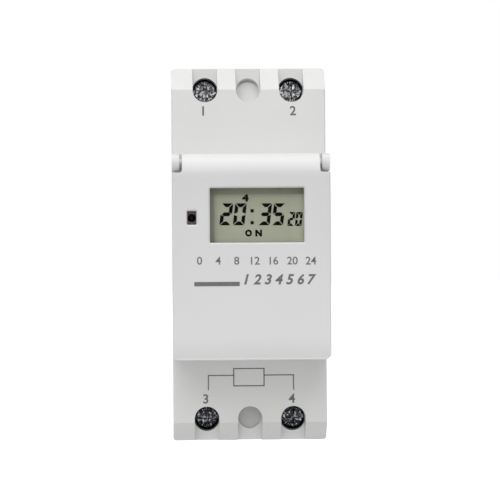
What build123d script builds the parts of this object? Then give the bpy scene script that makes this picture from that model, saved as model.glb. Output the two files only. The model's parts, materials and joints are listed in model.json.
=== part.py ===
"""Two-module time switch for a 35 mm mounting rail.

The frame is the rail's: X runs along the rail to the right, Z is up, and the front faces -Y.
The origin is the centre of the face that rests on the rail. All sizes are in millimetres.
Depths are distances in front of the rail plane, so a depth of 44 lies at y = -44.
"""

import os
from math import cos, radians, sin

from build123d import *

os.makedirs("parts", exist_ok=True)

# Body
module_width = 18.0
modules = 2
body_width = module_width * modules
body_height = 87.5
shoulder_depth = 44.0
parting_depth = 8.0
wall = 1.6
top_chamfer = 5.25
bottom_chamfer = 4.45
corner_radius = 0.7
edge_radius = 0.4

# Raised block under the flap
raised_depth = 58.0
raised_bottom = -22.5
skirt_step = 1.5

# Flap and its hinge
flap_depth = 60.0
flap_thickness = 1.5
flap_bottom = -24.0
flap_bend = -18.8
flap_setback = 0.65
flap_lip = 0.5
flap_back_slope = 0.25
flap_back_relief = 0.3
flap_corner_radius = 1.4
flap_edge_radius = 0.35
notch_corner_radius = 0.6
notch_cutter = 10.0
crown_start = 18.35
crown_radius = 5.0
crown_angle = 60.0
knuckle_radius = 2.0
hinge_pin_radius = 0.9
hinge_pin_clearance = 0.1
hinge_pin_inset = 0.2
ear_width = 1.75
ear_gap = 0.55
ear_web_drop = 1.0
notch_bottom = 18.6
skirt_depth = 3.2
skirt_thickness = 1.2
skirt_gap = 0.3
swing_gap = 0.3

# Display
window_width = 21.4
window_height = 12.4
window_x = 1.3
window_z = 8.83
window_corner = 0.2
window_bevel = 0.3
lens_thickness = 1.0
lens_margin = 1.3
lens_gap = 0.1
lens_sink = 0.2
lcd_width = 24.2
lcd_height = 14.4
lcd_thickness = 2.8
lcd_x = 1.2
lcd_z = 8.5
display_rim = 0.4
opening_margin = 0.2
zebra_width = 1.7
zebra_end_gap = 0.6
zebra_edge_gap = 0.2
board_thickness = 1.6
display_board_depth = 50.5
display_board_margin = 0.5
post_radius = 2.0
post_side_inset = 1.9
post_top_inset = 2.2
post_bottom_inset = 1.7

# Indicator
led_x = -13.52
led_z = 8.3
led_window_width = 2.1
led_window_height = 3.1
led_radius = 0.9
led_clearance = 0.1
led_base_radius = 1.25
led_base_depth = 55.6
led_top_depth = 57.4
led_dome_radius = 0.7

# Buttons
button_names = ("clock", "day", "hour", "minute", "manual", "reset")
button_pitch_x = 9.0
button_pitch_z = 8.0
button_z = -10.2
button_columns = 3
button_length = 6.2
button_height = 4.2
button_clearance = 0.2
button_corner = 0.5
button_stand = 0.1
button_flange = 0.6
button_flange_thickness = 0.8
button_flange_gap = 0.1
button_stem_radius = 1.5
button_edge = 0.3
keypad_recess = 0.6
keypad_margin = 1.4
keypad_corner = 1.0
button_travel = 0.5
switch_size = 6.0
switch_height = 3.1
plunger_radius = 1.6
plunger_stand = 0.7
plunger_length = 1.4
plunger_clearance = 0.1
plunger_floor_gap = 0.2

# Terminals
terminal_side_inset = 7.9
terminal_end_inset = 5.35
access_radius = 2.87
access_wall = 1.2
slot_width = 5.74
slot_depth = 5.4
blind_radius = 2.65
blind_depth = 6.4
head_depth = 37.6
head_radius = 2.65
head_height = 2.5
head_edge = 0.3
head_gap = 0.2
driver_slot_width = 0.9
driver_slot_depth = 0.9
driver_cross_length = 3.4
driver_cross_width = 1.0
driver_cross_depth = 1.8
driver_cross_taper = 12.0
ledge_thickness = 1.0
ledge_clearance = 0.3
screw_radius = 2.0
screw_clearance = 0.05
screw_tip_gap = 0.1
busbar_depth = 24.0
busbar_thickness = 1.0
busbar_width = 5.4
busbar_leg_inset = 6.0
cage_gap = 0.3
cage_top = 1.8
cage_floor = 1.2
cage_side = 1.3
cage_width = 9.4
cage_length = 5.8
cage_corner = 0.5
cage_guide_tail = 1.0
conductor_gap = 5.2
entry_width = 6.4
entry_height = 5.6
entry_radius = 1.0

# Rear base
seat_half = 15.2
seat_relief = 0.3
rail_half = 17.5
rail_gap = 0.5
hook_overlap = 1.7
hook_slot = 1.4
hook_tip_depth = 3.4
foot_depth = 5.5
foot_chamfer = 2.0
base_floor = 2.0
hollow_wall = 1.6
channel_front = 0.7
post_height = 3.2
pocket_depth = 3.6
hook_slope_z = 20.0
snap_end_inset = 15.5
snap_width = 5.0
snap_height = 2.2
snap_depth = 12.0
snap_tab = 1.0
snap_reach = 1.0
snap_clearance = 0.2
snap_root = 3.0
snap_tip = 0.8
snap_catch_land = 0.6
snap_tip_reach = 0.2

# Rail latch and spring
latch_width = 12.0
latch_neck = 9.2
latch_flange = 1.5
latch_back = 0.3
latch_clearance = 0.2
latch_tail = 3.2
latch_nose = 1.6
latch_nose_root = 1.5
latch_overlap_depth = 1.4
tail_slot_width = 5.0
tail_slot_height = 1.2
tail_slot_inset = 1.6
spring_radius = 1.45
wire_radius = 0.22
wire_sides = 6
spring_turns = 6
spring_pocket_gap = 0.15
spring_length = 12.0
spring_inset = 6.5
spring_post = 2.0
spring_post_gap = 0.3
spring_lift = 0.1

# Power board and what it carries
power_board_depth = 7.6
power_board_side_gap = 0.2
power_board_end_gap = 1.9
boss_radius = 2.2
boss_side_inset = 4.4
boss_top_z = 13.0
boss_leg_gap = 3.4
board_screw_radius = 0.85
board_screw_clearance = 0.05
board_screw_head_radius = 1.8
board_screw_head = 1.1
board_screw_length = 5.0
board_screw_tip_gap = 0.3
display_screw_length = 3.6
display_screw_head_radius = 1.5
relay_size = (27.0, 32.0, 20.0)
relay_z = -10.0
relay_corner = 0.8
film_capacitor_size = (18.0, 8.0, 15.0)
film_capacitor_place = (-5.0, 21.5)
film_capacitor_edge = 0.6
can_radius = 4.0
can_height = 11.5
can_edge = 0.5
can_place = (9.6, 21.5)
varistor_radius = 4.5
varistor_thickness = 3.4
varistor_foot_width = 5.8
varistor_leg_gap = 2.4
battery_radius = 7.7
battery_height = 6.0
battery_edge = 0.6
battery_place = (-6.0, -8.0)
chip_size = (10.0, 10.0, 2.0)
chip_place = (7.5, -8.0)
crystal_size = (10.0, 4.4, 3.2)
crystal_corner = 2.0
crystal_place = (7.5, 4.0)
bridge_size = (10.0, 5.0, 4.0)
bridge_place = (0.0, 10.0)
ribbon_width = 12.0
ribbon_thickness = 0.8
ribbon_z = 14.2
ribbon_sag = 2.5

# Reach of cutters past a face, of added shapes into what they join, and of edge picking
over = 1.0
root = 0.5
bite = 0.1
near = 0.1

# Places that follow from the sizes above
half_width = body_width / 2
half_height = body_height / 2
inner_half_width = half_width - wall
inner_half_height = half_height - wall
terminal_x = half_width - terminal_side_inset
terminal_z = half_height - terminal_end_inset
busbar_leg_z = terminal_z - busbar_leg_inset
snap_z = half_height - snap_end_inset
power_board_width = 2 * (inner_half_width - snap_clearance - snap_tab - power_board_side_gap)
power_board_height = 2 * (inner_half_height - power_board_end_gap)
boss_x = inner_half_width - boss_side_inset
boss_bottom_z = -busbar_leg_z + boss_leg_gap
varistor_place = (0.0, busbar_leg_z - varistor_leg_gap)
spring_top = -rail_half - spring_inset
post_x = inner_half_width - post_side_inset
hinge_reach = crown_radius - knuckle_radius
hinge_y = -(flap_depth - crown_radius) - hinge_reach * cos(radians(crown_angle))
hinge_z = crown_start + hinge_reach * sin(radians(crown_angle))
raised_top = hinge_z + knuckle_radius
raised_front_top = hinge_z - knuckle_radius - 2 * swing_gap
barrel_half = half_width - ear_width - ear_gap
flap_back = flap_depth - flap_thickness
skirt_inner = half_width - skirt_thickness
front_inner = raised_depth - wall
board_back = display_board_depth - board_thickness
lcd_back = front_inner - display_rim - lcd_thickness
ledge_depth = head_depth - head_height - head_gap
cage_front = busbar_depth + cage_gap + cage_top
cage_back = busbar_depth - busbar_thickness - conductor_gap - cage_floor
entry_depth = busbar_depth - busbar_thickness - conductor_gap / 2
button_spots = [
    ((column - (button_columns - 1) / 2) * button_pitch_x, button_z + side * button_pitch_z / 2)
    for side in (1, -1)
    for column in range(button_columns)
]
terminal_spots = {
    "supply_left": (-terminal_x, terminal_z),
    "supply_right": (terminal_x, terminal_z),
    "load_left": (-terminal_x, -terminal_z),
    "load_right": (terminal_x, -terminal_z),
}


def front(depth):
    """Plane facing the front, at a depth in front of the rail plane: its x is X and its y is Z."""
    return Plane.XZ.offset(depth)


def keep(builder, name):
    """Label a finished piece and write it."""
    builder.part.label = name
    export_step(builder.part, f"parts/{name}.step")


def block(x, z, width, height, back, forward, mode=Mode.ADD, radius=0):
    """Box between two depths, with its width along X and its height along Z."""
    with BuildSketch(front(back)) as outline:
        with Locations((x, z)):
            if radius:
                RectangleRounded(width, height, radius)
            else:
                Rectangle(width, height)
    extrude(outline.sketch, amount=forward - back, mode=mode)


def rod(x, z, radius, back, forward, mode=Mode.ADD):
    """Round bar along Y between two depths."""
    with BuildSketch(front(back)) as outline:
        with Locations((x, z)):
            Circle(radius)
    extrude(outline.sketch, amount=forward - back, mode=mode)


def bar_along_x(depth, z, radius, start, end, mode=Mode.ADD):
    """Round bar along X between two x values."""
    with BuildSketch(Plane.YZ.offset(start)) as outline:
        with Locations((-depth, z)):
            Circle(radius)
    extrude(outline.sketch, amount=end - start, mode=mode)


def at(edges, axis, place):
    """Edges whose centres lie at a place along an axis."""
    return edges.filter_by_position(axis, place - near, place + near)


def profile(points, start, end, mode=Mode.ADD):
    """Side outline given as depth and z pairs, drawn out along X."""
    with BuildSketch(Plane.YZ.offset(start)) as outline:
        Polygon(*[(-depth, z) for depth, z in points], align=None)
    extrude(outline.sketch, amount=end - start, mode=mode)


# Front housing
notch_depth = -hinge_y - knuckle_radius - 2 * swing_gap
step_depth = flap_depth - skirt_depth - skirt_gap
step_half = half_width - skirt_step
cavity_terminal_z = terminal_z - slot_width / 2 - wall
cavity_terminal_depth = shoulder_depth - slot_depth - wall
rib_gap = cage_width / 2 + cage_gap
rib_top = cavity_terminal_depth + root
rib_back = cage_back - cage_guide_tail
raised_inner_top = raised_top - wall
raised_inner_bottom = raised_bottom + wall
post_top_z = raised_inner_top - post_top_inset
post_bottom_z = raised_inner_bottom + post_bottom_inset
with BuildPart() as front_housing:
    profile(
        [
            (parting_depth, -half_height),
            (shoulder_depth - bottom_chamfer, -half_height),
            (shoulder_depth, -half_height + bottom_chamfer),
            (shoulder_depth, raised_bottom),
            (raised_depth, raised_bottom),
            (raised_depth, raised_front_top),
            (notch_depth, raised_front_top),
            (notch_depth, raised_top),
            (shoulder_depth, raised_top),
            (shoulder_depth, half_height - top_chamfer),
            (shoulder_depth - top_chamfer, half_height),
            (parting_depth, half_height),
        ],
        -half_width,
        half_width,
    )
    # Rounded outer corners
    for place in (-half_height, half_height):
        fillet(at(front_housing.edges().filter_by(Axis.Y), Axis.Z, place), corner_radius)
    fillet(at(front_housing.edges().filter_by(Axis.Z), Axis.Y, -shoulder_depth), edge_radius)
    # Side steps for the flap's skirts
    for side in (-1, 1):
        block(
            side * (half_width + step_half) / 2,
            (raised_bottom + raised_front_top) / 2,
            skirt_step,
            raised_front_top - raised_bottom,
            step_depth,
            raised_depth + over,
            Mode.SUBTRACT,
        )
    # Inside of the box
    profile(
        [
            (parting_depth - over, -inner_half_height),
            (cavity_terminal_depth, -inner_half_height),
            (cavity_terminal_depth, -cavity_terminal_z),
            (shoulder_depth - wall, -cavity_terminal_z),
            (shoulder_depth - wall, raised_inner_bottom),
            (step_depth - wall, raised_inner_bottom),
            (step_depth - wall, raised_front_top - wall),
            (notch_depth - wall, raised_front_top - wall),
            (notch_depth - wall, raised_inner_top),
            (shoulder_depth - wall, raised_inner_top),
            (shoulder_depth - wall, cavity_terminal_z),
            (cavity_terminal_depth, cavity_terminal_z),
            (cavity_terminal_depth, inner_half_height),
            (parting_depth - over, inner_half_height),
        ],
        -inner_half_width,
        inner_half_width,
        Mode.SUBTRACT,
    )
    block(
        0,
        (raised_inner_bottom + raised_front_top - wall) / 2,
        2 * (step_half - wall),
        raised_front_top - wall - raised_inner_bottom,
        step_depth - wall - root,
        front_inner,
        Mode.SUBTRACT,
    )
    # Hinge ears with their pin holes
    for side in (-1, 1):
        inner, outer = sorted((side * (half_width - ear_width), side * half_width))
        block(
            (inner + outer) / 2,
            (hinge_z - ear_web_drop + raised_top) / 2,
            ear_width,
            raised_top - hinge_z + ear_web_drop,
            notch_depth - root,
            -hinge_y,
        )
        bar_along_x(-hinge_y, hinge_z, knuckle_radius, inner, outer)
        hole = hinge_pin_radius + hinge_pin_clearance
        bar_along_x(-hinge_y, hinge_z, hole, inner - over, outer + over, Mode.SUBTRACT)
    # Screw wells, and the blind well between them, at both ends
    for end in (-1, 1):
        for x in (-terminal_x, terminal_x):
            rod(x, end * terminal_z, access_radius + access_wall, ledge_depth - ledge_thickness, rib_top)
        rod(0, end * terminal_z, blind_radius + wall, shoulder_depth - blind_depth - wall, rib_top)
        for x in (-terminal_x, 0, terminal_x):
            block(
                x,
                end * (terminal_z + half_height + over) / 2,
                slot_width,
                half_height + over - terminal_z,
                shoulder_depth - slot_depth,
                shoulder_depth + over,
                Mode.SUBTRACT,
            )
            slot_floor = shoulder_depth - slot_depth
            rod(x, end * terminal_z, slot_width / 2, slot_floor, shoulder_depth + over, Mode.SUBTRACT)
        for x in (-terminal_x, terminal_x):
            rod(x, end * terminal_z, access_radius, ledge_depth, shoulder_depth, Mode.SUBTRACT)
            rod(
                x,
                end * terminal_z,
                screw_radius + ledge_clearance,
                ledge_depth - ledge_thickness - over,
                ledge_depth + over,
                Mode.SUBTRACT,
            )
            # Guide ribs for the cage
            for side in (-1, 1):
                rib_face = abs(x) + side * rib_gap
                rib_end = rib_face + side * access_wall
                block(
                    (rib_face + rib_end) / 2 * (1 if x > 0 else -1),
                    end * (cavity_terminal_z + inner_half_height + root) / 2,
                    access_wall,
                    inner_half_height + root - cavity_terminal_z,
                    rib_back,
                    rib_top,
                )
            # Wire entry in the end wall
            with BuildSketch(Plane.XY.offset(end * (half_height - wall - root))) as entry:
                with Locations((x, -entry_depth)):
                    RectangleRounded(entry_width, entry_height, entry_radius)
            extrude(entry.sketch, amount=end * (wall + 2 * root), mode=Mode.SUBTRACT)
        rod(0, end * terminal_z, blind_radius, shoulder_depth - blind_depth, shoulder_depth, Mode.SUBTRACT)
    # Display rim, rebate for the lens, and the opening
    block(lcd_x, lcd_z, lcd_width, lcd_height, front_inner - display_rim, front_inner + root)
    block(
        window_x,
        window_z,
        window_width + 2 * (lens_margin + lens_gap),
        window_height + 2 * (lens_margin + lens_gap),
        raised_depth - lens_sink - lens_thickness,
        raised_depth + over,
        Mode.SUBTRACT,
    )
    block(
        window_x,
        window_z,
        window_width + 2 * opening_margin,
        window_height + 2 * opening_margin,
        front_inner - over,
        raised_depth + over,
        Mode.SUBTRACT,
    )
    rod(led_x, led_z, led_radius + led_clearance, front_inner - over, raised_depth + over, Mode.SUBTRACT)
    # Keypad recess and the button openings
    block(
        0,
        button_z,
        (button_columns - 1) * button_pitch_x + button_length + 2 * keypad_margin,
        button_pitch_z + button_height + 2 * keypad_margin,
        raised_depth - keypad_recess,
        raised_depth + over,
        Mode.SUBTRACT,
        keypad_corner,
    )
    for x, z in button_spots:
        block(
            x,
            z,
            button_length + 2 * button_clearance,
            button_height + 2 * button_clearance,
            front_inner - over,
            raised_depth + over,
            Mode.SUBTRACT,
            button_corner + button_clearance,
        )
    # Posts for the display board
    for x in (-post_x, post_x):
        rod(x, post_bottom_z, post_radius, display_board_depth, step_depth - wall + root)
        rod(x, post_top_z, post_radius, display_board_depth, notch_depth - wall + root)
        for z in (post_bottom_z, post_top_z):
            rod(
                x,
                z,
                board_screw_radius + board_screw_clearance,
                display_board_depth - over,
                board_back + display_screw_length + board_screw_tip_gap,
                Mode.SUBTRACT,
            )
    # Windows in the side walls for the base's snap arms
    for side in (-1, 1):
        for z in (-snap_z, snap_z):
            block(
                side * (half_width + inner_half_width) / 2,
                z,
                wall + over,
                snap_width + 2 * snap_clearance,
                snap_depth - snap_height / 2 - snap_clearance,
                snap_depth + snap_height / 2 + snap_clearance,
                Mode.SUBTRACT,
            )
keep(front_housing, "front_housing")

# Flap: shell with skirts, barrel, pins and two windows
crown_centre = flap_depth - crown_radius
lip_top = flap_bottom + flap_lip
with BuildPart() as flap:
    with BuildSketch(Plane.YZ.offset(-half_width)) as shell:
        with BuildLine():
            upper = CenterArc((-crown_centre, crown_start), crown_radius, 180 - crown_angle, crown_angle)
            Polyline(
                upper @ 1,
                (-flap_depth, flap_bottom),
                (-flap_depth + skirt_depth, flap_bottom),
                (-flap_depth + skirt_depth, flap_bottom + skirt_thickness),
                (-flap_back + flap_back_slope, flap_bottom + skirt_thickness),
                (-flap_back, flap_bend),
                (-flap_back + flap_back_relief, hinge_z),
                upper @ 0,
            )
        make_face()
    extrude(shell.sketch, amount=body_width)
    for side in (-1, 1):
        block(
            side * (half_width + skirt_inner) / 2,
            (flap_bottom + hinge_z) / 2,
            skirt_thickness,
            hinge_z - flap_bottom,
            flap_depth - skirt_depth,
            flap_back + root,
        )
        # Corner notches and room for the ears
        block(
            side * (barrel_half + notch_cutter / 2),
            notch_bottom + notch_cutter / 2,
            notch_cutter,
            notch_cutter,
            flap_depth - notch_cutter,
            flap_depth + over,
            Mode.SUBTRACT,
            notch_corner_radius,
        )
        inner, outer = sorted((side * barrel_half, side * (half_width + over)))
        bar_along_x(-hinge_y, hinge_z, knuckle_radius + swing_gap, inner, outer, Mode.SUBTRACT)
    sides = at(flap.edges().filter_by(Axis.Z), Axis.Y, -flap_depth)
    fillet(sides.filter_by_position(Axis.Z, flap_bottom, notch_bottom), flap_edge_radius)
    # Lower band of the front, which curves back to the upright lip
    lip_face = -flap_depth + flap_setback
    with BuildSketch(Plane.YZ.offset(-half_width - over)) as band:
        with BuildLine():
            curve = TangentArc((-flap_depth, flap_bend), (lip_face, lip_top), tangent=(0, -1))
            Polyline(
                curve @ 1,
                (lip_face, flap_bottom - over),
                (-flap_depth - over, flap_bottom - over),
                (-flap_depth - over, flap_bend),
                curve @ 0,
            )
        make_face()
    extrude(band.sketch, amount=body_width + 2 * over, mode=Mode.SUBTRACT)
    fillet(at(flap.edges().filter_by(Axis.Y), Axis.Z, flap_bottom), flap_corner_radius)
    bar_along_x(-hinge_y, hinge_z, knuckle_radius, -barrel_half, barrel_half)
    pin_end = half_width - hinge_pin_inset
    bar_along_x(-hinge_y, hinge_z, hinge_pin_radius, -pin_end, pin_end)
    # Bevelled windows for the display and the lamp
    for x, z, width, height in (
        (window_x, window_z, window_width, window_height),
        (led_x, led_z, led_window_width, led_window_height),
    ):
        block(x, z, width, height, flap_back - over, flap_depth + over, Mode.SUBTRACT, window_corner)
    chamfer(flap.faces().sort_by(Axis.Y)[0].inner_wires().edges(), window_bevel)
keep(flap, "flap")

# Display: lens, glass, contact strips
with BuildPart() as display_lens:
    block(
        window_x,
        window_z,
        window_width + 2 * lens_margin,
        window_height + 2 * lens_margin,
        raised_depth - lens_sink - lens_thickness,
        raised_depth - lens_sink,
    )
keep(display_lens, "display_lens")

with BuildPart() as lcd_glass:
    block(lcd_x, lcd_z, lcd_width, lcd_height, lcd_back, front_inner - display_rim)
keep(lcd_glass, "lcd_glass")

for name, side in (("contact_strip_upper", 1), ("contact_strip_lower", -1)):
    with BuildPart() as strip:
        block(
            lcd_x,
            lcd_z + side * (lcd_height / 2 - zebra_width / 2 - zebra_edge_gap),
            lcd_width - 2 * zebra_end_gap,
            zebra_width,
            display_board_depth,
            lcd_back,
        )
    keep(strip, name)

with BuildPart() as display_board:
    block(
        0,
        (raised_inner_top + raised_inner_bottom) / 2,
        2 * (inner_half_width - display_board_margin),
        raised_inner_top - raised_inner_bottom - 2 * display_board_margin,
        board_back,
        display_board_depth,
    )
    for x in (-post_x, post_x):
        for z in (post_bottom_z, post_top_z):
            hole = board_screw_radius + board_screw_clearance
            rod(x, z, hole, board_back - over, display_board_depth + over, Mode.SUBTRACT)
keep(display_board, "display_board")

with BuildPart() as indicator_led:
    rod(led_x, led_z, led_base_radius, display_board_depth, led_base_depth)
    rod(led_x, led_z, led_radius, led_base_depth, led_top_depth)
    fillet(indicator_led.edges().sort_by(Axis.Y)[0], led_dome_radius)
keep(indicator_led, "indicator_led")

# Buttons, key switches and plungers
switch_front = display_board_depth + switch_height - plunger_stand
plunger_front = display_board_depth + switch_height
flange_front = front_inner - button_flange_gap
flange_back = flange_front - button_flange_thickness
for name, (x, z) in zip(button_names, button_spots):
    with BuildPart() as button:
        cap_front = raised_depth + button_stand
        block(x, z, button_length, button_height, flange_back, cap_front, Mode.ADD, button_corner)
        chamfer(button.edges().group_by(Axis.Y)[0], button_edge)
        block(
            x,
            z,
            button_length + 2 * button_flange,
            button_height + 2 * button_flange,
            flange_back,
            flange_front,
        )
        rod(x, z, button_stem_radius, plunger_front, flange_back)
    keep(button, f"button_{name}")
    with BuildPart() as key_switch:
        block(x, z, switch_size, switch_size, display_board_depth, switch_front)
        rod(
            x,
            z,
            plunger_radius + plunger_clearance,
            plunger_front - plunger_length - button_travel - plunger_floor_gap,
            switch_front + over,
            Mode.SUBTRACT,
        )
    keep(key_switch, f"key_switch_{name}")
    with BuildPart() as plunger:
        rod(x, z, plunger_radius, plunger_front - plunger_length, plunger_front)
    keep(plunger, f"key_plunger_{name}")

# Parts on the back of the display board
with BuildPart() as backup_battery:
    rod(*battery_place, battery_radius, board_back - battery_height, board_back)
    chamfer(backup_battery.edges().sort_by(Axis.Y)[-1], battery_edge)
keep(backup_battery, "backup_battery")

with BuildPart() as controller_chip:
    block(*chip_place, chip_size[0], chip_size[1], board_back - chip_size[2], board_back)
keep(controller_chip, "controller_chip")

with BuildPart() as quartz_crystal:
    block(
        *crystal_place,
        crystal_size[0],
        crystal_size[1],
        board_back - crystal_size[2],
        board_back,
        Mode.ADD,
        crystal_corner,
    )
keep(quartz_crystal, "quartz_crystal")

ribbon_middle = (board_back + power_board_depth) / 2
with BuildPart() as link_ribbon:
    with BuildSketch(Plane.YZ.offset(-ribbon_width / 2)) as band:
        with BuildLine():
            upper = ThreePointArc(
                (-power_board_depth, ribbon_z + ribbon_thickness / 2),
                (-ribbon_middle, ribbon_z - ribbon_sag + ribbon_thickness / 2),
                (-board_back, ribbon_z + ribbon_thickness / 2),
            )
            lower = ThreePointArc(
                (-power_board_depth, ribbon_z - ribbon_thickness / 2),
                (-ribbon_middle, ribbon_z - ribbon_sag - ribbon_thickness / 2),
                (-board_back, ribbon_z - ribbon_thickness / 2),
            )
            Line(upper @ 0, lower @ 0)
            Line(upper @ 1, lower @ 1)
        make_face()
    extrude(band.sketch, amount=ribbon_width)
keep(link_ribbon, "link_ribbon")

# Power board and what stands on it
power_board_back = power_board_depth - board_thickness
boss_spots = [(x, z) for x in (-boss_x, boss_x) for z in (boss_bottom_z, boss_top_z)]
with BuildPart() as power_board:
    block(0, 0, power_board_width, power_board_height, power_board_back, power_board_depth)
    for x, z in boss_spots:
        hole = board_screw_radius + board_screw_clearance
        rod(x, z, hole, power_board_back - over, power_board_depth + over, Mode.SUBTRACT)
keep(power_board, "power_board")

with BuildPart() as relay:
    block(
        0,
        relay_z,
        relay_size[0],
        relay_size[1],
        power_board_depth,
        power_board_depth + relay_size[2],
        Mode.ADD,
        relay_corner,
    )
keep(relay, "relay")

with BuildPart() as film_capacitor:
    block(
        *film_capacitor_place,
        film_capacitor_size[0],
        film_capacitor_size[1],
        power_board_depth,
        power_board_depth + film_capacitor_size[2],
    )
    chamfer(film_capacitor.edges().group_by(Axis.Y)[0], film_capacitor_edge)
keep(film_capacitor, "film_capacitor")

with BuildPart() as can_capacitor:
    rod(*can_place, can_radius, power_board_depth, power_board_depth + can_height)
    chamfer(can_capacitor.edges().sort_by(Axis.Y)[0], can_edge)
keep(can_capacitor, "can_capacitor")

with BuildPart() as varistor:
    with BuildSketch(Plane.XY.offset(varistor_place[1] - varistor_thickness / 2)):
        with Locations((varistor_place[0], -power_board_depth - varistor_radius)):
            Circle(varistor_radius)
        with Locations((varistor_place[0], -power_board_depth - varistor_radius / 2)):
            Rectangle(varistor_foot_width, varistor_radius)
    extrude(amount=varistor_thickness)
keep(varistor, "varistor")

with BuildPart() as bridge_rectifier:
    bridge_front = power_board_depth + bridge_size[2]
    block(*bridge_place, bridge_size[0], bridge_size[1], power_board_depth, bridge_front)
keep(bridge_rectifier, "bridge_rectifier")


def board_screws(spots, face, radius, length, direction):
    """Pan head screws with their heads on a board's face; direction is 1 towards the front."""
    for x, z in spots:
        rod(x, z, radius, *sorted((face, face - direction * board_screw_head)))
        rod(x, z, board_screw_radius, *sorted((face, face + direction * length)))


with BuildPart() as power_board_screws:
    board_screws(boss_spots, power_board_depth, board_screw_head_radius, board_screw_length, -1)
keep(power_board_screws, "power_board_screws")

with BuildPart() as display_board_screws:
    spots = [(x, z) for x in (-post_x, post_x) for z in (post_bottom_z, post_top_z)]
    board_screws(spots, board_back, display_screw_head_radius, display_screw_length, 1)
keep(display_board_screws, "display_board_screws")

# Terminals: a screw that turns, a cage that rises and a fixed bar
for name, (x, z) in terminal_spots.items():
    end = 1 if z > 0 else -1
    with BuildPart() as screw:
        rod(x, z, head_radius, head_depth - head_height, head_depth)
        chamfer(screw.edges().sort_by(Axis.Y)[0], head_edge)
        block(
            x,
            z,
            2 * (head_radius + over),
            driver_slot_width,
            head_depth - driver_slot_depth,
            head_depth + over,
            Mode.SUBTRACT,
        )
        for length, width in (
            (driver_cross_length, driver_cross_width),
            (driver_cross_width, driver_cross_length),
        ):
            with BuildSketch(front(head_depth)) as cross:
                with Locations((x, z)):
                    Rectangle(length, width)
            half_taper = driver_cross_taper / 2
            extrude(cross.sketch, amount=-driver_cross_depth, taper=half_taper, mode=Mode.SUBTRACT)
        rod(x, z, screw_radius, busbar_depth + screw_tip_gap, head_depth - head_height)
    keep(screw, f"terminal_screw_{name}")
    with BuildPart() as cage:
        block(x, z, cage_width, cage_length, cage_back, cage_front, Mode.ADD, cage_corner)
        block(
            x,
            z,
            cage_width - 2 * cage_side,
            cage_length + 2 * over,
            cage_back + cage_floor,
            cage_front - cage_top,
            Mode.SUBTRACT,
        )
        hole = screw_radius + screw_clearance
        rod(x, z, hole, cage_back + cage_floor + over, cage_front + over, Mode.SUBTRACT)
    keep(cage, f"terminal_cage_{name}")
    with BuildPart() as busbar:
        outer_z = end * inner_half_height
        inner_z = end * (busbar_leg_z - busbar_thickness / 2)
        block(
            x,
            (outer_z + inner_z) / 2,
            busbar_width,
            abs(outer_z - inner_z),
            busbar_depth - busbar_thickness,
            busbar_depth,
        )
        block(x, end * busbar_leg_z, busbar_width, busbar_thickness, power_board_depth, busbar_depth)
    keep(busbar, f"busbar_{name}")

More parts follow.
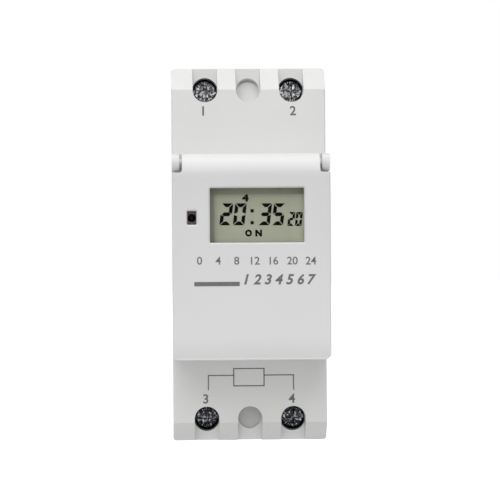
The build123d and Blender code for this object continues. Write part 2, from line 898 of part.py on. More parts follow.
# Rear base
channel_flange = latch_flange + 2 * latch_clearance
with BuildPart() as rear_base:
    profile(
        [
            (parting_depth, -half_height),
            (-foot_depth + foot_chamfer, -half_height),
            (-foot_depth, -half_height + foot_chamfer),
            (-foot_depth, -rail_half - rail_gap),
            (seat_relief, -rail_half - rail_gap),
            (seat_relief, -seat_half),
            (0, -seat_half),
            (0, seat_half),
            (seat_relief, seat_half),
            (seat_relief, rail_half + rail_gap),
            (-hook_slot, rail_half + rail_gap),
            (-hook_slot, rail_half - hook_overlap),
            (-hook_tip_depth, rail_half - hook_overlap),
            (-foot_depth, hook_slope_z),
            (-foot_depth, half_height - foot_chamfer),
            (-foot_depth + foot_chamfer, half_height),
            (parting_depth, half_height),
        ],
        -half_width,
        half_width,
    )
    for place in (-half_height, half_height):
        fillet(at(rear_base.edges().filter_by(Axis.Y), Axis.Z, place), corner_radius)
    tray_front = parting_depth + over
    block(0, 0, 2 * inner_half_width, 2 * inner_half_height, base_floor, tray_front, Mode.SUBTRACT)
    # Hollows in the feet
    for side in (-1, 1):
        block(
            side * (inner_half_width - hollow_wall) / 2,
            (inner_half_height + hook_slope_z + hollow_wall) / 2,
            inner_half_width - 2 * hollow_wall,
            inner_half_height - hook_slope_z - 2 * hollow_wall,
            -foot_depth + base_floor,
            base_floor + over,
            Mode.SUBTRACT,
        )
        channel_side = latch_width / 2 + latch_clearance + hollow_wall
        hollow_top = boss_bottom_z - boss_radius - hollow_wall
        block(
            side * (inner_half_width + channel_side) / 2,
            (hollow_top - inner_half_height + hollow_wall) / 2,
            inner_half_width - channel_side,
            inner_half_height - hollow_wall + hollow_top,
            -foot_depth + base_floor,
            base_floor + over,
            Mode.SUBTRACT,
        )
    # Stepped channel for the latch, open at the rail and at the lower end
    channel_top = -rail_half + over
    channel_middle = (channel_top - half_height - over) / 2
    channel_height = channel_top + half_height + over
    block(
        0,
        channel_middle,
        latch_width + 2 * latch_clearance,
        channel_height,
        -channel_front - channel_flange,
        -channel_front,
        Mode.SUBTRACT,
    )
    block(
        0,
        channel_middle,
        latch_neck + 2 * latch_clearance,
        channel_height,
        -foot_depth - over,
        -channel_front,
        Mode.SUBTRACT,
    )
    # Post that the spring stands on
    block(
        0,
        spring_top - spring_length - spring_post / 2,
        2 * spring_radius,
        spring_post,
        -channel_front - post_height,
        -channel_front + root,
    )
    # Bosses for the power board
    for x, z in boss_spots:
        rod(x, z, boss_radius, base_floor - root, power_board_back)
        rod(
            x,
            z,
            board_screw_radius + board_screw_clearance,
            power_board_depth - board_screw_length - board_screw_tip_gap,
            power_board_back + over,
            Mode.SUBTRACT,
        )
    # Snap arms
    arm_outer = inner_half_width - snap_clearance
    for side in (-1, 1):
        arm_face = side * arm_outer
        for z in (-snap_z, snap_z):
            block(
                side * (arm_outer - snap_tab / 2),
                z,
                snap_tab,
                snap_width,
                base_floor - root,
                snap_depth + snap_height / 2 + snap_tip,
            )
            foot_x = side * (arm_outer + snap_clearance / 2)
            foot_width = snap_clearance + 2 * bite
            block(foot_x, z, foot_width, snap_width, base_floor - root, snap_root)
            catch_back = snap_depth - snap_height / 2
            catch_front = snap_depth + snap_height / 2
            with BuildSketch(Plane.XY.offset(z - snap_width / 2)) as catch:
                Polygon(
                    (arm_face - side * bite, -catch_back),
                    (arm_face + side * snap_reach, -catch_back),
                    (arm_face + side * snap_reach, -catch_back - snap_catch_land),
                    (arm_face + side * snap_tip_reach, -catch_front),
                    (arm_face - side * bite, -catch_front),
                    align=None,
                )
            extrude(catch.sketch, amount=snap_width)
keep(rear_base, "rear_base")

# Rail latch
latch_front = channel_front + latch_clearance
latch_rear = foot_depth - latch_back
latch_end = -half_height - latch_tail
pocket_half = spring_radius + wire_radius + spring_pocket_gap
with BuildPart() as rail_latch:
    body_top = -rail_half - rail_gap - latch_clearance
    nose_top = -rail_half + latch_nose
    body_middle = (body_top + latch_end) / 2
    body_length = body_top - latch_end
    block(0, body_middle, latch_width, body_length, -latch_front - latch_flange, -latch_front)
    block(0, body_middle, latch_neck, body_length, -latch_rear, -latch_front)
    profile(
        [
            (-latch_overlap_depth, body_top - latch_nose_root),
            (-latch_overlap_depth, nose_top),
            (-hook_tip_depth, nose_top),
            (-latch_rear, body_top - latch_nose_root),
        ],
        -latch_neck / 2,
        latch_neck / 2,
    )
    # Pocket for the spring and the post
    pocket_length = spring_length + spring_post + spring_post_gap
    block(
        0,
        spring_top - pocket_length / 2,
        2 * pocket_half,
        pocket_length,
        -channel_front - pocket_depth,
        -channel_front + over,
        Mode.SUBTRACT,
    )
    # Slot for a screwdriver in the tail
    block(
        0,
        latch_end + tail_slot_inset,
        tail_slot_width,
        tail_slot_height,
        -latch_rear - over,
        -latch_front + over,
        Mode.SUBTRACT,
    )
keep(rail_latch, "rail_latch")

# Latch spring
spring_y = channel_front + pocket_depth / 2 + spring_lift
coil_height = spring_length - 2 * wire_radius
with BuildPart() as latch_spring:
    with BuildLine(Plane(origin=(0, spring_y, spring_top - spring_length + wire_radius))):
        coil = Helix(pitch=coil_height / spring_turns, height=coil_height, radius=spring_radius)
    with BuildSketch(Plane(origin=coil @ 0, z_dir=coil % 0)):
        RegularPolygon(wire_radius, wire_sides)
    sweep(path=coil, is_frenet=True)
keep(latch_spring, "latch_spring")
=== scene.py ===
"""Looks of the rail time switch: finishes, painted shade and highlights, display, plain prints, screw
ridges, lights and camera.

The prints, the ridges, the painted shade and the camera's place are given in millimetres, which MM turns
into metres. The rest is in metres.
"""

import json
from math import cos, radians, sin

import bpy
from mathutils import Matrix, Vector


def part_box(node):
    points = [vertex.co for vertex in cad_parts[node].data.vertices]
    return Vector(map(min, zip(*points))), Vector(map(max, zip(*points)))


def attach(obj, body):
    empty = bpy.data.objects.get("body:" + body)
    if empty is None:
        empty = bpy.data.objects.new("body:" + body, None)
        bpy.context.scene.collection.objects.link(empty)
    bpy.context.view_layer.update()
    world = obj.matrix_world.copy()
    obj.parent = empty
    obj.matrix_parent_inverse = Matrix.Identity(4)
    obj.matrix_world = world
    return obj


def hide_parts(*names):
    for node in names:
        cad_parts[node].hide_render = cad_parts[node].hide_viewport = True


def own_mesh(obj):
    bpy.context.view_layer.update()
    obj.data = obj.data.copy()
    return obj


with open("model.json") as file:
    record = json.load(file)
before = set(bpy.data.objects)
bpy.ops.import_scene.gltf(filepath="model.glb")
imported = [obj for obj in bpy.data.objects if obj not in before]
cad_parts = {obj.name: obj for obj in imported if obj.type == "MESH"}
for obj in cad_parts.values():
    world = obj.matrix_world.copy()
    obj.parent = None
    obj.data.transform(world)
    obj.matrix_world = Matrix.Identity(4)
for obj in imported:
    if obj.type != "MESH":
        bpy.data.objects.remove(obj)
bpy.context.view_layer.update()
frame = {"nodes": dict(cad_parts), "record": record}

MM = 0.001


def box_mm(name):
    """Low and high corner of a CAD node's box, in millimetres."""
    return [[value / MM for value in corner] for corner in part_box(name)]


def middle_mm(name):
    """X and z of the middle of a CAD node's box, in millimetres."""
    low, high = box_mm(name)
    return (low[0] + high[0]) / 2, (low[2] + high[2]) / 2


def front_mm(name):
    """How far a CAD node reaches in front of the rail plane, in millimetres."""
    return -box_mm(name)[0][1]


# Depths of the faces that carry prints, in millimetres in front of the rail plane. The shoulders and
# the raised block are steps of the housing, so no box gives them. The film ends just behind the lens.
SHOULDER = 44.0
RAISED_FRONT = 58.0
FLAP_FRONT = front_mm("flap")
LCD_FRONT = front_mm("lcd_glass")
LENS_GAP = 0.08
lens_low, lens_high = box_mm("display_lens")
FILM_FRONT = -lens_high[1] - LENS_GAP


def node_tree(name):
    """New material whose tree holds only a shader and its output, with that tree and shader."""
    material = bpy.data.materials.new(name)
    material.use_nodes = True
    tree = material.node_tree
    tree.nodes.clear()
    shader = tree.nodes.new("ShaderNodeBsdfPrincipled")
    output = tree.nodes.new("ShaderNodeOutputMaterial")
    tree.links.new(shader.outputs["BSDF"], output.inputs["Surface"])
    return material, tree, shader


def chain(tree, operation, *values):
    """Math node whose inputs are sockets or numbers."""
    node = tree.nodes.new("ShaderNodeMath")
    node.operation = operation
    for socket, value in zip(node.inputs, values):
        if isinstance(value, float):
            socket.default_value = value
        else:
            tree.links.new(value, socket)
    return node.outputs[0]


def ramp(tree, value, start, end, first=0.0, last=1.0):
    """Runs from first to last while the value runs from start to end, and stays there outside."""
    node = tree.nodes.new("ShaderNodeMapRange")
    node.inputs["From Min"].default_value = start
    node.inputs["From Max"].default_value = end
    node.inputs["To Min"].default_value = first
    node.inputs["To Max"].default_value = last
    tree.links.new(value, node.inputs["Value"])
    return node.outputs["Result"]


def noise(tree, scale, detail=3.0, stretch=None):
    """Noise in object space; scale is in cells per metre."""
    place = tree.nodes.new("ShaderNodeTexCoord")
    texture = tree.nodes.new("ShaderNodeTexNoise")
    texture.inputs["Scale"].default_value = scale
    texture.inputs["Detail"].default_value = detail
    source = place.outputs["Object"]
    if stretch:
        mapping = tree.nodes.new("ShaderNodeMapping")
        mapping.inputs["Scale"].default_value = stretch
        tree.links.new(source, mapping.inputs["Vector"])
        source = mapping.outputs["Vector"]
    tree.links.new(source, texture.inputs["Vector"])
    return texture.outputs["Fac"]


# Most of a noise lies between these values
NOISE_LOW, NOISE_HIGH = 0.3, 0.7


def spread(tree, pattern, low, high):
    """Value between low and high that follows a noise."""
    return ramp(tree, pattern, NOISE_LOW, NOISE_HIGH, low, high)


def add_relief(tree, shader, pattern, strength, height):
    """Bump that follows a noise."""
    relief = tree.nodes.new("ShaderNodeBump")
    relief.inputs["Strength"].default_value = strength
    relief.inputs["Distance"].default_value = height
    tree.links.new(pattern, relief.inputs["Height"])
    tree.links.new(relief.outputs["Normal"], shader.inputs["Normal"])
    return relief


def surface(name, colour, rough, metallic=0.0, tint=0.04, grain=3500.0, bump=0.06, height=0.00002,
            edge=0.00012, stretch=None, rough_spread=0.06, cloud=70.0, **fixed):
    """Material with mottled colour, uneven roughness, a grain and softened edges.

    What is passed in fixed goes to the shader's sockets of those names.
    """
    material, tree, shader = node_tree(name)
    blend = tree.nodes.new("ShaderNodeMix")
    blend.data_type = "RGBA"
    blend.inputs["A"].default_value = (*[c * (1 - tint) for c in colour], 1)
    blend.inputs["B"].default_value = (*[min(1.0, c * (1 + tint)) for c in colour], 1)
    tree.links.new(spread(tree, noise(tree, cloud, detail=4.0), 0.0, 1.0), blend.inputs["Factor"])
    tree.links.new(blend.outputs["Result"], shader.inputs["Base Color"])
    fine = noise(tree, grain, detail=2.0, stretch=stretch)
    roughness = spread(tree, fine, rough - rough_spread, rough + rough_spread)
    tree.links.new(roughness, shader.inputs["Roughness"])
    shader.inputs["Metallic"].default_value = metallic
    relief = add_relief(tree, shader, fine, bump, height)
    if edge:
        soft = tree.nodes.new("ShaderNodeBevel")
        soft.samples = 6
        soft.inputs["Radius"].default_value = edge
        tree.links.new(soft.outputs["Normal"], relief.inputs["Normal"])
    for socket, value in fixed.items():
        shader.inputs[socket].default_value = value
    return material


def metal(name, colour, rough, **more):
    """Smooth metal with a finer grain than the plastics."""
    return surface(name, colour, rough, metallic=1.0, tint=0.08, cloud=400.0, grain=2500.0, bump=0.12,
                   **more)


def painted_glint_metal(name, dull, bright, start, end, spots=1700.0, grain=3000.0, smooth=0.28, rough=0.5,
               dents=2400.0, dent_strength=0.7, dent_height=0.0002):
    """Metal painted dark as reflection, with painted glints as small bright spots and a coarse relief;
    noise from start to end brightens it.
    """
    material, tree, shader = node_tree(name)
    colours = tree.nodes.new("ShaderNodeValToRGB")
    for element, position, colour in zip(colours.color_ramp.elements, (start, end), (dull, bright)):
        element.position = position
        element.color = (*colour, 1)
    tree.links.new(noise(tree, spots, detail=4.0), colours.inputs["Fac"])
    tree.links.new(colours.outputs["Color"], shader.inputs["Base Color"])
    tree.links.new(spread(tree, noise(tree, grain), smooth, rough), shader.inputs["Roughness"])
    shader.inputs["Metallic"].default_value = 1.0
    add_relief(tree, shader, noise(tree, dents, detail=4.0), dent_strength, dent_height)
    return material


def colour_socket(tree):
    """Input of the shader that takes its colour."""
    return next(node for node in tree.nodes if node.type == "BSDF_PRINCIPLED").inputs["Base Color"]


def object_place(tree):
    """Sockets X, Y and Z of the place on the object, in metres."""
    split = tree.nodes.new("ShaderNodeSeparateXYZ")
    tree.links.new(tree.nodes.new("ShaderNodeTexCoord").outputs["Object"], split.inputs[0])
    return split.outputs


def shade(material, axis, start, end, first, last):
    """Paints shade and light: multiplies the colour by first to last between two places along an axis, in
    millimetres.
    """
    tree = material.node_tree
    colour = colour_socket(tree)
    scaled = tree.nodes.new("ShaderNodeVectorMath")
    scaled.operation = "SCALE"
    tree.links.new(colour.links[0].from_socket, scaled.inputs[0])
    factor = ramp(tree, object_place(tree)[axis], start * MM, end * MM, first, last)
    tree.links.new(factor, scaled.inputs["Scale"])
    tree.links.new(scaled.outputs["Vector"], colour)


# Colour of the painted shade, and the radii in millimetres between which it sets in round an unshaded disc
PAINTED_SHADE_COLOUR = (0.015, 0.015, 0.016)
DISC_EDGE = (3.0, 3.6)


def paint_hole_shade(material, x, z, radius, shade_from_depth, full_shade_depth, strength, disc_z=None):
    """Paints shade in a round hole: darkens the plastic from a first depth to a second, deeper one and
    behind it.

    A hole beside the middle stands for its four mirror images. With disc_z, an unshaded disc round that
    height leaves a crescent of painted shadow. All places are in millimetres.
    """
    tree = material.node_tree
    colour = colour_socket(tree)
    place = object_place(tree)
    height = chain(tree, "ABSOLUTE", place["Z"]) if x else place["Z"]
    across = chain(tree, "SUBTRACT", chain(tree, "ABSOLUTE", place["X"]), x * MM)

    def reach(middle):
        along = chain(tree, "SUBTRACT", height, middle * MM)
        squares = [chain(tree, "MULTIPLY", way, way) for way in (across, along)]
        return chain(tree, "SQRT", chain(tree, "ADD", *squares))

    inside = chain(tree, "LESS_THAN", reach(z), radius * MM)
    if disc_z is not None:
        outside_disc = ramp(tree, reach(disc_z), *[edge * MM for edge in DISC_EDGE])
        inside = chain(tree, "MULTIPLY", inside, outside_disc)
    deep = ramp(tree, place["Y"], -shade_from_depth * MM, -full_shade_depth * MM, 0.0, strength)
    blend = tree.nodes.new("ShaderNodeMix")
    blend.data_type = "RGBA"
    tree.links.new(colour.links[0].from_socket, blend.inputs["A"])
    blend.inputs["B"].default_value = (*PAINTED_SHADE_COLOUR, 1)
    tree.links.new(chain(tree, "MULTIPLY", inside, deep), blend.inputs["Factor"])
    tree.links.new(blend.outputs["Result"], colour)


# Finish of each of the record's material slots
WHITE = (0.76, 0.76, 0.752)
finishes = {
    "housing": surface("housing_plastic", WHITE, 0.46, tint=0.012),
    "base": surface("base_plastic", WHITE, 0.48, tint=0.015),
    "flap": surface("flap_plastic", (0.735, 0.735, 0.737), 0.40, tint=0.012, edge=0.00025),
    "lens": surface("window_plastic", (0.05, 0.052, 0.05), 0.05, tint=0.02, bump=0.01, edge=0,
                    rough_spread=0.02, Alpha=0.05, IOR=1.15),
    "lcd": surface("display_glass", (0.50, 0.52, 0.40), 0.45, tint=0.02, bump=0.02, edge=0, IOR=1.2),
    "strip": surface("contact_rubber", (0.10, 0.10, 0.11), 0.7),
    "board": surface("board_lacquer", (0.02, 0.10, 0.04), 0.35, tint=0.15),
    "led": surface("lamp_resin", (0.012, 0.003, 0.004), 0.12, bump=0.01, IOR=1.15),
    "button": surface("key_plastic", (0.085, 0.088, 0.095), 0.48),
    "switch": surface("switch_plastic", (0.02, 0.02, 0.02), 0.4),
    "plunger": surface("plunger_plastic", (0.6, 0.57, 0.5), 0.5),
    "battery": metal("cell_can", (0.55, 0.55, 0.54), 0.3),
    "chip": surface("chip_resin", (0.012, 0.012, 0.013), 0.55),
    "crystal": metal("crystal_can", (0.6, 0.6, 0.6), 0.25),
    "ribbon": surface("ribbon_sleeve", (0.25, 0.26, 0.28), 0.5, stretch=(3000, 1, 1)),
    "relay": surface("relay_case", (0.015, 0.015, 0.017), 0.3),
    "film": surface("capacitor_box", (0.55, 0.36, 0.02), 0.4),
    "can": surface("can_sleeve", (0.01, 0.015, 0.06), 0.3),
    "varistor": surface("varistor_lacquer", (0.01, 0.06, 0.25), 0.35),
    "bridge": surface("bridge_resin", (0.012, 0.012, 0.012), 0.5),
    # Screws: the dark colour is painted reflection of the dark wells, and the bright spots are painted
    # glints
    "screw": painted_glint_metal("zinc_screw", (0.07, 0.07, 0.074), (0.80, 0.81, 0.83), 0.44, 0.70),
    "cage": metal("zinc_cage", (0.50, 0.49, 0.46), 0.38, edge=0.00008),
    "busbar": metal("brass_bar", (0.72, 0.50, 0.22), 0.32),
    "latch": surface("latch_plastic", (0.66, 0.66, 0.65), 0.42, tint=0.02),
    "spring": metal("spring_wire", (0.5, 0.5, 0.5), 0.25, edge=0),
}

# Finishes of the lower screws, a darker copy of the screws' zinc that is painted shade, of the prints,
# of the painted shadows at the display's border and round the lamp, and of the display's film and segments
shaded_zinc = painted_glint_metal("zinc_screw_painted_shade", (0.04, 0.042, 0.046), (0.70, 0.72, 0.76), 0.50, 0.74)
ink = surface("grey_ink", (0.133, 0.132, 0.128), 0.5, tint=0.10, edge=0, cloud=900.0)
film_finish = surface("display_film", (0.49, 0.507, 0.392), 0.45, tint=0.02, bump=0.02, edge=0, IOR=1.2)
border_shadow_paint = surface("display_border_painted_shadow", (0.35, 0.36, 0.28), 0.5, tint=0.02, edge=0, IOR=1.2)
window_shade_paint = surface("lamp_window_painted_shade", (0.10, 0.085, 0.085), 0.5, tint=0.15, edge=0, cloud=1500.0)
segment_ink = surface("display_segments", (0.002, 0.002, 0.002), 0.6, tint=0.1, edge=0, IOR=1.05)

# Painted shade in the four screw wells, a little in the lower blind recess, and a crescent of painted
# shadow in the upper one
SLOT_FLOOR = 38.6
WELL_X, WELL_Z = middle_mm("terminal_screw_supply_right")
paint_hole_shade(finishes["housing"], WELL_X, WELL_Z + 0.2, radius=3.0, shade_from_depth=SLOT_FLOOR + 0.5, full_shade_depth=SLOT_FLOOR,
     strength=1.0)
paint_hole_shade(finishes["housing"], 0.0, -WELL_Z, radius=2.7, shade_from_depth=SLOT_FLOOR - 0.1, full_shade_depth=SLOT_FLOOR - 0.2,
     strength=0.14)
paint_hole_shade(finishes["housing"], 0.0, WELL_Z + 0.4, radius=2.7, shade_from_depth=SLOT_FLOOR + 0.2, full_shade_depth=SLOT_FLOOR,
     strength=0.58, disc_z=WELL_Z - 1.0)

# Painted shade on the flap, a little darker towards its upper edge, and a painted highlight on the crown
shade(finishes["flap"], "Z", start=-19.0, end=16.5, first=1.045, last=0.945)
shade(finishes["flap"], "Z", start=17.2, end=22.8, first=1.0, last=1.17)

# Every CAD node gets the finish of its slot, and the lower screws a darker copy, painted shade
slots = {entry["node"]: entry["material_slot"] for entry in frame["record"]["subparts"]}
for name, node in frame["nodes"].items():
    lower_screw = name.startswith("terminal_screw_load")
    node.data.materials.clear()
    node.data.materials.append(shaded_zinc if lower_screw else finishes[slots[name]])


def link(name, data):
    """Object in the scene, made of a mesh, a text, a light or a camera."""
    made = bpy.data.objects.new(name, data)
    bpy.context.scene.collection.objects.link(made)
    return made


def mesh_of(name, vertices, faces):
    """Mesh of points in metres, and of faces that name them by number."""
    mesh = bpy.data.meshes.new(name)
    mesh.from_pydata(vertices, [], faces)
    mesh.validate()
    return mesh


def dress(name, mesh, finish, body):
    """Piece with a finish that rides on a body."""
    mesh.materials.clear()
    mesh.materials.append(finish)
    piece = link(name, mesh)
    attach(piece, body)
    return piece


# A copy of the latch spring with its own mesh rides on the case in place of the CAD spring, which is hidden
spring_mesh = frame["nodes"]["latch_spring"].data.copy()
pressed_spring = dress("pressed_spring", spring_mesh, finishes["spring"], "case")
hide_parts("latch_spring")
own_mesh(pressed_spring)

# Faces that carry prints and painted shadows: depth, finish, slot and body
PRINT_THICKNESS = 0.02
FLAP_FACE = (FLAP_FRONT, ink, "flap", "flap")
SHOULDER_FACE = (SHOULDER, ink, "housing", "case")
MASK_FACE = (RAISED_FRONT, window_shade_paint, "housing", "case")
SEGMENT_FACE = (FILM_FRONT, segment_ink, "lcd", "case")
BORDER_FACE = (FILM_FRONT, border_shadow_paint, "lcd", "case")
FILM_FACE = (LCD_FRONT, film_finish, "lcd", "case")


def plate(name, outlines, face, thickness=PRINT_THICKNESS):
    """Thin plate in front of a face, for prints, the film and painted shadows: outlines are lists of x and
    z in millimetres, joined in one mesh.
    """
    depth, finish, slot, body = face
    vertices, faces = [], []
    for points in outlines:
        start, count = len(vertices), len(points)
        for lift in (0.0, thickness):
            for x, z in points:
                vertices.append((x * MM, -(depth + lift) * MM, z * MM))
        faces.append([start + i for i in range(count)][::-1])
        faces.append([start + count + i for i in range(count)])
        for i in range(count):
            j = (i + 1) % count
            faces.append([start + i, start + j, start + count + j, start + count + i])
    dress(name, mesh_of(name, vertices, faces), finish, body)


def box_outline(left, lower, right, upper):
    """Corners of a rectangle."""
    return [(left, lower), (right, lower), (right, upper), (left, upper)]


# Any thickness does for a letter's draft, because the mesh gets the print's thickness afterwards
DRAFT_EXTRUDE = 0.005


def words(name, text, x, z, height, face, width=None, weight=0.0, lean=0.0):
    """Flat lettering, converted to a mesh, with its middle at x and z, in millimetres."""
    depth, finish, slot, body = face
    curve = bpy.data.curves.new(name, "FONT")
    curve.body = text
    curve.align_x = "CENTER"
    curve.align_y = "CENTER"
    curve.size = 1.0
    curve.extrude = DRAFT_EXTRUDE
    curve.offset = weight
    curve.shear = lean
    draft = link(name + "_draft", curve)
    bpy.context.view_layer.update()
    mesh = bpy.data.meshes.new_from_object(draft)
    bpy.data.objects.remove(draft)
    xs = [vertex.co.x for vertex in mesh.vertices]
    ys = [vertex.co.y for vertex in mesh.vertices]
    tall = height / (max(ys) - min(ys))
    wide = width / (max(xs) - min(xs)) if width else tall
    middle_x, middle_y = (max(xs) + min(xs)) / 2, (max(ys) + min(ys)) / 2
    for vertex in mesh.vertices:
        lift = PRINT_THICKNESS if vertex.co.z > 0 else 0.0
        vertex.co = (
            (x + (vertex.co.x - middle_x) * wide) * MM,
            -(depth + lift) * MM,
            (z + (vertex.co.y - middle_y) * tall) * MM,
        )
    mesh.name = name
    dress(name, mesh, finish, body)


# Display segments: the bars of a digit are named a to g, clockwise from the top one, with g in the
# middle. The gap beside a bar is a share of the digit's width, and the thickness of a level bar and the
# length of a tip are shares of its stroke.
BARS = {"0": "abcdef", "2": "abged", "3": "abgcd", "5": "afgcd"}
BAR_GAP, LEVEL_BAR, BAR_TIP = 0.045, 1.08, 0.4


def digit(character, left, bottom, width, height, stroke, slant):
    """Outlines of one digit's slanted bars, mitred where they meet; the level bars are a little thicker."""
    gap, flat, mid = BAR_GAP * width, LEVEL_BAR * stroke, height / 2
    half, tip = flat / 2, BAR_TIP * stroke
    far, inner = width - gap, width - stroke

    def level_bar(level, inward):
        return [(gap, level), (far, level), (far - flat, level + inward), (gap + flat, level + inward)]

    def upright_bar(edge, inside, start, end, start_in, end_in):
        return [(edge, start), (edge, end), (inside, end_in), (inside, start_in)]

    upper = (mid + gap, height - gap, mid + tip + gap, height - stroke - gap)
    lower = (mid - gap, gap, mid - tip - gap, stroke + gap)
    shapes = {
        "a": level_bar(height, -flat),
        "b": upright_bar(width, inner, *upper),
        "c": upright_bar(width, inner, *lower),
        "d": level_bar(0.0, flat),
        "e": upright_bar(0.0, stroke, *lower),
        "f": upright_bar(0.0, stroke, *upper),
        "g": [(tip, mid), (tip + half, mid + half), (width - tip - half, mid + half), (width - tip, mid),
              (width - tip - half, mid - half), (tip + half, mid - half)],
    }
    return [[(left + x + slant * y, bottom + y) for x, y in shapes[bar]] for bar in BARS[character]]


# Camera: focal length in pixels, the pixel where lines along the depth meet, distance to the shoulders
# and place of the left side in millimetres, and roll. Places that are read from the photo are turned
# back by PRINT_TURN, in radians.
FOCAL = 2227.0
CENTRE_X, CENTRE_Y = 172.2, 254.7
DISTANCE = 520.0
LEFT_SIDE = -18.0
ROLL = radians(0.37)
PRINT_TURN = 0.0049


def image_point(column, row, depth):
    """X and z, in millimetres, of what the front view shows at a pixel, on a face at a depth."""
    scale = FOCAL / (DISTANCE + SHOULDER - depth)
    x, z = (column - CENTRE_X) / scale + LEFT_SIDE, (CENTRE_Y - row) / scale
    return x + PRINT_TURN * z, z - PRINT_TURN * (x - LEFT_SIDE)


# Film on the display glass, with a painted shadow of the window's edge as a dark border at its left and
# upper edges. A strip beside the border is darker, more painted shadow, and the strips at the other edges
# are painted light.
WINDOW_INSET = 1.15
BORDER_SIDE, BORDER_UPPER = 1.2, 1.55
STRIP_LEFT, STRIP_RIGHT, STRIP_UPPER, STRIP_LOWER = 0.9, 3.5, 0.85, 2.5
film_left, film_lower = lens_low[0] + WINDOW_INSET, lens_low[2] + WINDOW_INSET
film_right, film_upper = lens_high[0] - WINDOW_INSET, lens_high[2] - WINDOW_INSET
border_right, border_lower = film_left + BORDER_SIDE, film_upper - BORDER_UPPER
shade(film_finish, "X", start=border_right, end=border_right + STRIP_LEFT, first=0.85, last=1.0)
shade(film_finish, "X", start=film_right - STRIP_RIGHT, end=film_right, first=1.0, last=1.22)
shade(film_finish, "Z", start=border_lower - STRIP_UPPER, end=border_lower, first=1.05, last=0.90)
shade(film_finish, "Z", start=film_lower, end=film_lower + STRIP_LOWER, first=1.12, last=1.0)
film = box_outline(film_left, film_lower, film_right, film_upper)
plate("display_film", [film], FILM_FACE, thickness=FILM_FRONT - LCD_FRONT)
border = [
    box_outline(film_left, film_lower, border_right, film_upper),
    box_outline(border_right, border_lower, film_right, film_upper),
]
plate("display_border", border, BORDER_FACE)

# Display characters: left edges and base lines of the digits, and middles of the dots and signs, in
# pixels of the front view. A digit's size is its width, height and stroke in millimetres and its slant.
# A sign has its name, its character, its middle, its height in millimetres and its weight.
DIGITS = (("2", 219.3), ("0", 232.8), ("3", 258.2), ("5", 271.6))
SMALL_DIGITS = (("2", 287.4), ("0", 294.9))
DIGIT_BASE, SMALL_BASE = 225.4, 226.2
DIGIT_SIZE, SMALL_SIZE = (2.64, 5.0, 0.80, 0.12), (1.5, 3.2, 0.56, 0.12)
DOTS_X, DOTS_Y, DOT_HALF = 252.2, (210.9, 222.8), 0.38
SIGNS = (
    ("display_day", "4", 245.4, 198.0, 1.7, 0.05),
    ("display_mode_o", "O", 248.6, 233.2, 1.55, 0.07),
    ("display_mode_n", "N", 258.7, 233.2, 1.55, 0.07),
)
SIGN_WIDTH = 1.55

segments = []
for digits, base, size in ((DIGITS, DIGIT_BASE, DIGIT_SIZE), (SMALL_DIGITS, SMALL_BASE, SMALL_SIZE)):
    for character, left in digits:
        segments += digit(character, *image_point(left, base, FILM_FRONT), *size)
for row in DOTS_Y:
    x, z = image_point(DOTS_X, row, FILM_FRONT)
    segments.append(box_outline(x - DOT_HALF, z - DOT_HALF, x + DOT_HALF, z + DOT_HALF))
plate("display_time", segments, SEGMENT_FACE)
for name, text, column, row, height, weight in SIGNS:
    middle = image_point(column, row, FILM_FRONT)
    words(name, text, *middle, height, SEGMENT_FACE, width=SIGN_WIDTH, weight=weight)

# Dark plate round the lamp, under the flap's small window, a painted shade of that window: a round hole in
# a rectangle
MASK_STEPS, MASK_INNER, MASK_HALF_WIDTH, MASK_HALF_HEIGHT = 32, 1.02, 1.35, 1.85
NEARLY_ZERO = 0.001
lamp_x, lamp_z = middle_mm("indicator_led")


def mask_spoke(turn):
    """Points of the hole's edge and the rectangle's edge in one direction from the lamp."""
    across, up = cos(turn), sin(turn)
    to_side = MASK_HALF_WIDTH / max(abs(across), NEARLY_ZERO)
    to_end = MASK_HALF_HEIGHT / max(abs(up), NEARLY_ZERO)
    reaches = (MASK_INNER, min(to_side, to_end))
    return [(lamp_x + reach * across, lamp_z + reach * up) for reach in reaches]


spokes = [mask_spoke(radians(step * 360 / MASK_STEPS)) for step in range(MASK_STEPS + 1)]
mask = [start + end[::-1] for start, end in zip(spokes, spokes[1:])]
plate("lamp_mask", mask, MASK_FACE)

# Plain prints on the flap and shoulders: places in pixels of the front view, heights in millimetres
SCALE_MARKS = ("0", "4", "8", "12", "16", "20", "24")
SCALE_X, SCALE_STEP, SCALE_Y, SCALE_HEIGHT = 199.5, 18.6, 260.8, 1.8
BAR_LEFT, BAR_RIGHT, BAR_UPPER, BAR_LOWER = 194.2, 239.7, 281.9, 286.4
DAYS, DAY_X, DAY_STEP, DAY_Y, DAY_HEIGHT = 7, 246.5, 10.9, 279.5, 2.35
TERMINAL_NUMBERS = (("1", 203.3, 111.0), ("2", 293.2, 110.6), ("3", 205.5, 399.0), ("4", 291.7, 398.6))
TERMINAL_HEIGHT = 2.2

for index, label in enumerate(SCALE_MARKS):
    middle = image_point(SCALE_X + index * SCALE_STEP, SCALE_Y, FLAP_FRONT)
    words(f"scale_{label}", label, *middle, SCALE_HEIGHT, FLAP_FACE, weight=0.012)
bar = image_point(BAR_LEFT, BAR_LOWER, FLAP_FRONT) + image_point(BAR_RIGHT, BAR_UPPER, FLAP_FRONT)
plate("scale_bar", [box_outline(*bar)], FLAP_FACE)
for index in range(DAYS):
    label = str(index + 1)
    middle = image_point(DAY_X + index * DAY_STEP, DAY_Y, FLAP_FRONT)
    words(f"weekday_{label}", label, *middle, DAY_HEIGHT, FLAP_FACE, weight=0.03, lean=0.25)
for label, column, row in TERMINAL_NUMBERS:
    middle = image_point(column, row, SHOULDER)
    words(f"terminal_number_{label}", label, *middle, TERMINAL_HEIGHT, SHOULDER_FACE, weight=0.02)

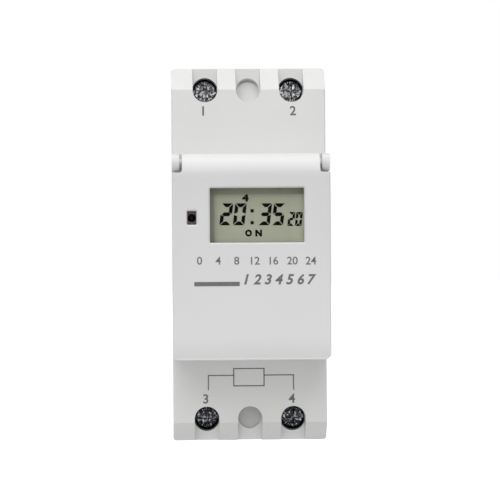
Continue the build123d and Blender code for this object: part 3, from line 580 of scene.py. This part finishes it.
# Plain circuit lines over the lower terminals: an empty box with an arm to each side, which ends in a foot.
# Corners are in pixels of the front view, widths and heights in millimetres.
LINE_HALF = 0.13
BOX_LOW, BOX_HIGH, ARM_RISE = (233.6, 386.0), (263.8, 368.6), 0.45
FOOT_LEFT, FOOT_RIGHT = (208.2, 389.8), (293.4, 389.4)


def line(start_x, start_z, end_x, end_z):
    """Outline of a thin bar between two points that share an x or a z."""
    return box_outline(min(start_x, end_x) - LINE_HALF, min(start_z, end_z) - LINE_HALF,
                       max(start_x, end_x) + LINE_HALF, max(start_z, end_z) + LINE_HALF)


left, low = image_point(*BOX_LOW, SHOULDER)
right, high = image_point(*BOX_HIGH, SHOULDER)
arm = (low + high) / 2 + ARM_RISE
foot_left, foot = image_point(*FOOT_LEFT, SHOULDER)
foot_right = image_point(*FOOT_RIGHT, SHOULDER)[0]
circuit = [
    line(left, low, right, low),
    line(left, high, right, high),
    line(left, low, left, high),
    line(right, low, right, high),
    line(foot_left, arm, left, arm),
    line(right, arm, foot_right, arm),
    line(foot_left, arm, foot_left, foot),
    line(foot_right, arm, foot_right, foot),
]
plate("circuit_lines", circuit, SHOULDER_FACE)

# Serrated faces of the screw heads: ridges in a ring, left out over the driver slot. Each ridge has a
# triangle at its inner and at its outer end. Lengths are in millimetres, the half angle in radians.
RIDGES, RIDGE_INNER, RIDGE_OUTER, RIDGE_HEIGHT, SLOT_CLEAR = 24, 1.45, 2.4, 0.2, 0.62
RIDGE_HALF_ANGLE, RIDGE_LIFT = 0.10, 0.01
RIDGE_PROFILE = ((-RIDGE_HALF_ANGLE, 0.0), (0.0, RIDGE_HEIGHT), (RIDGE_HALF_ANGLE, 0.0))
RIDGE_FACES = ((0, 3, 4, 1), (1, 4, 5, 2), (0, 2, 5, 3), (0, 1, 2), (3, 5, 4))


def ridge_ring(screw):
    """Mesh of the ridges on a screw's head."""
    middle_x, middle_z = middle_mm(screw)
    face = front_mm(screw) + RIDGE_LIFT
    vertices, faces = [], []
    for step in range(RIDGES):
        turn = radians((step + 0.5) * 360 / RIDGES)
        if abs(sin(turn)) * RIDGE_INNER < SLOT_CLEAR:
            continue
        start = len(vertices)
        for radius in (RIDGE_INNER, RIDGE_OUTER):
            for offset, rise in RIDGE_PROFILE:
                x, z = middle_x + radius * cos(turn + offset), middle_z + radius * sin(turn + offset)
                vertices.append((x * MM, -(face + rise) * MM, z * MM))
        faces += [[start + corner for corner in corners] for corners in RIDGE_FACES]
    return mesh_of(screw + "_ridges", vertices, faces)


for screw in sorted(name for name in frame["nodes"] if name.startswith("terminal_screw_")):
    finish = frame["nodes"][screw].data.materials[0]
    body = "screw_" + screw.removeprefix("terminal_screw_")
    dress(screw + "_ridges", ridge_ring(screw), finish, body)


def seen(tree):
    """1 for rays that show the background: to the camera, in gloss and through glass."""
    path = tree.nodes.new("ShaderNodeLightPath").outputs
    shown = chain(tree, "MAXIMUM", path["Is Camera Ray"], path["Is Glossy Ray"])
    return chain(tree, "MAXIMUM", shown, path["Is Transmission Ray"])


# Pale floor, which glows only where it is seen
FLOOR_HALF, FLOOR_LEVEL = 4.0, -0.0640
FLOOR_COLOUR, FLOOR_ROUGHNESS, FLOOR_GLOW = 0.72, 0.9, 0.8
edges = box_outline(-FLOOR_HALF, -FLOOR_HALF, FLOOR_HALF, FLOOR_HALF)
corners = [(x, y, FLOOR_LEVEL) for x, y in edges]
floor = link("floor", mesh_of("floor", corners, [(0, 1, 2, 3)]))
floor_paper, tree, shader = node_tree("floor_paper")
shader.inputs["Base Color"].default_value = (FLOOR_COLOUR, FLOOR_COLOUR, FLOOR_COLOUR, 1)
shader.inputs["Roughness"].default_value = FLOOR_ROUGHNESS
shader.inputs["Emission Color"].default_value = (1, 1, 1, 1)
tree.links.new(chain(tree, "MULTIPLY", seen(tree), FLOOR_GLOW), shader.inputs["Emission Strength"])
floor.data.materials.append(floor_paper)

# White surroundings, which look brighter than the light that they give the object
AMBIENT = 0.35
world = bpy.data.worlds.new("studio")
bpy.context.scene.world = world
world.use_nodes = True
tree = world.node_tree
background = tree.nodes["Background"]
background.inputs["Color"].default_value = (1, 1, 1, 1)
tree.links.new(ramp(tree, seen(tree), 0.0, 1.0, AMBIENT, 1.0), background.inputs["Strength"])

# Square lights before and above the object
LIGHT_TARGET = Vector((0, -0.03, 0))


def softbox(name, place, size, watts):
    """Square light that faces the middle of the object."""
    lamp = bpy.data.lights.new(name, "AREA")
    lamp.size = size
    lamp.energy = watts
    holder = link(name, lamp)
    holder.location = place
    holder.rotation_euler = (LIGHT_TARGET - Vector(place)).to_track_quat("-Z", "Y").to_euler()


softbox("top_light", (-0.30, -1.46, 2.10), size=2.8, watts=29.7)
softbox("high_light", (-0.20, -0.50, 2.50), size=1.4, watts=15.9)
softbox("front_light", (-0.30, -2.40, 1.00), size=1.6, watts=9.8)

# Camera in the plane of the left side, level with the middle. Each axis is one of the object's, as the
# camera sees it, so lines along the depth meet at CENTRE_X and CENTRE_Y. The image is square, and the
# sensor's width is in millimetres.
IMAGE_WIDTH, SENSOR, CLIP_START = 500.0, 36.0, 0.01
IMAGE_MIDDLE = IMAGE_WIDTH / 2
depth_axis = Vector((CENTRE_X - IMAGE_MIDDLE, IMAGE_MIDDLE - CENTRE_Y, -FOCAL)).normalized()
x_axis = Vector((cos(ROLL), sin(ROLL), 0.0))
x_axis.z = -(x_axis.x * depth_axis.x + x_axis.y * depth_axis.y) / depth_axis.z
x_axis.normalize()
z_axis = x_axis.cross(depth_axis)
camera_data = bpy.data.cameras.new("camera")
camera_data.sensor_width = SENSOR
camera_data.lens = FOCAL / IMAGE_WIDTH * SENSOR
camera_data.clip_start = CLIP_START
camera = link("camera", camera_data)
turn = Matrix((x_axis, depth_axis, z_axis)).to_4x4()
camera.matrix_world = Matrix.Translation((LEFT_SIDE * MM, -(SHOULDER + DISTANCE) * MM, 0.0)) @ turn
bpy.context.scene.camera = camera

bpy.context.scene.view_settings.view_transform = "Standard"
